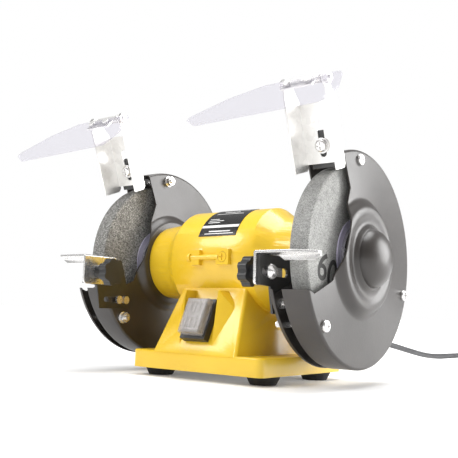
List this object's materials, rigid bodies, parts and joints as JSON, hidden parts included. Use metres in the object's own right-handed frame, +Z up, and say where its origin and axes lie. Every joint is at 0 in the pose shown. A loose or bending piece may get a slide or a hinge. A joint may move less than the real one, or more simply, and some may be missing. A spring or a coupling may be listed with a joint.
{
  "type": "twin-wheel bench grinder",
  "caption": "Twin-wheel bench grinder: motor on a pedestal base, guarded grinding wheels, tool rests, eye shields, switch and mains lead.",
  "frame": {"origin": "on the bench, at the centre of the four mounting holes, under the middle of the base", "axes": "+X along the motor shaft towards the finer (operator's right) wheel, -Y towards the operator, +Z up; metres"},
  "size_m": [0.3426, 0.8283, 0.2364],
  "materials": {
    "yellow_paint": "gloss enamel",
    "guard_paint": "satin",
    "black_steel": "satin black",
    "zinc": "zinc plated",
    "steel": "ground",
    "lamination": "stamped sheet",
    "copper": "varnished copper wire",
    "rubber": "matt",
    "black_plastic": "fine texture",
    "smoke_cover": "smoky clear plastic",
    "clear_plastic": "clear plastic",
    "label": "satin foil",
    "coarse_grit": "coarse vitrified abrasive",
    "fine_grit": "fine vitrified abrasive",
    "paper": "blotting paper",
    "white_plastic": "moulded",
    "grey_cord": "PVC sheath",
    "brass": "nickel plated"
  },
  "bodies": {
    "frame": {"base_casting": "yellow_paint", "bottom_plate": "zinc", "bottom_screws": "zinc", "rubber_feet": "rubber", "switch_housing": "black_plastic", "switch_dust_cover": "smoke_cover", "motor_end_left": "yellow_paint", "motor_end_right": "yellow_paint", "motor_centre_band": "yellow_paint", "tie_bolts": "yellow_paint", "lock_screw": "zinc", "rating_plate": "label", "stator_core": "lamination", "stator_windings": "copper", "bearing_outer_rings": "steel", "wave_washer": "steel", "guard_pan_right": "guard_paint", "guard_cover_right": "guard_paint", "guard_pan_left": "guard_paint", "guard_cover_left": "guard_paint", "guard_bolts": "zinc", "guard_mount_screws": "zinc", "rest_brackets": "black_steel", "bracket_screws": "zinc", "bracket_nuts": "zinc", "spark_arrestors": "black_steel", "arm_screws": "zinc", "m5_nuts": "zinc", "run_capacitor": "white_plastic", "terminal_block": "white_plastic", "strain_relief": "black_plastic", "mains_cord": "grey_cord", "cord_coil": "grey_cord", "plug_body": "grey_cord", "plug_pins": "brass"},
    "spindle": {"shaft": "steel", "rotor_core": "lamination", "bearing_inner_rings": "steel", "bearing_balls": "steel", "grinding_wheel_right": "fine_grit", "grinding_wheel_left": "coarse_grit", "wheel_bushes": "white_plastic", "wheel_blotters": "paper", "wheel_flanges": "zinc", "shaft_nuts": "zinc"},
    "rocker": {"switch_rocker": "black_plastic"},
    "rest_left": {"tool_rest_left": "zinc", "rest_bolt_left": "zinc"},
    "knob_left": {"rest_knob_left": "black_plastic"},
    "arm_left": {"shield_arm_left": "zinc", "shield_rod_left": "zinc"},
    "shield_left": {"shield_holder_left": "zinc", "eye_shield_left": "clear_plastic"},
    "rest_right": {"tool_rest_right": "zinc", "rest_bolt_right": "zinc"},
    "knob_right": {"rest_knob_right": "black_plastic"},
    "arm_right": {"shield_arm_right": "zinc", "shield_rod_right": "zinc"},
    "shield_right": {"shield_holder_right": "zinc", "eye_shield_right": "clear_plastic"}
  },
  "joints": [
    {"name": "spindle_spin", "type": "hinge", "parent": "frame", "child": "spindle", "pos_m": [0, 0, 0.102], "axis": [1, 0, 0], "continuous": true},
    {"name": "switch_rock", "type": "hinge", "parent": "frame", "child": "rocker", "pos_m": [0, -0.05495, 0.04911], "axis": [1, 0, 0], "range_deg": [-14, 0]},
    {"name": "rest_slide_left", "type": "slide", "parent": "frame", "child": "rest_left", "axis": [0, -1, 0], "range_m": [-0.016, 0.007]},
    {"name": "knob_turn_left", "type": "hinge", "parent": "rest_left", "child": "knob_left", "pos_m": [-0.078, -0.094, 0.087], "axis": [-1, 0, 0], "continuous": true},
    {"name": "arm_slide_left", "type": "slide", "parent": "frame", "child": "arm_left", "axis": [0, -0.3584, 0.9336], "range_m": [-0.0012, 0.005]},
    {"name": "shield_tilt_left", "type": "hinge", "parent": "arm_left", "child": "shield_left", "pos_m": [-0.1072, -0.07185, 0.23056], "axis": [1, 0, 0], "range_deg": [-60, 30]},
    {"name": "rest_slide_right", "type": "slide", "parent": "frame", "child": "rest_right", "axis": [0, -1, 0], "range_m": [-0.002, 0.007]},
    {"name": "knob_turn_right", "type": "hinge", "parent": "rest_right", "child": "knob_right", "pos_m": [0.078, -0.08, 0.087], "axis": [1, 0, 0], "continuous": true},
    {"name": "arm_slide_right", "type": "slide", "parent": "frame", "child": "arm_right", "axis": [0, -0.309, 0.9511], "range_m": [-0.0012, 0.005]},
    {"name": "shield_tilt_right", "type": "hinge", "parent": "arm_right", "child": "shield_right", "pos_m": [0.1072, -0.06957, 0.23204], "axis": [1, 0, 0], "range_deg": [-60, 30]}
  ]
}
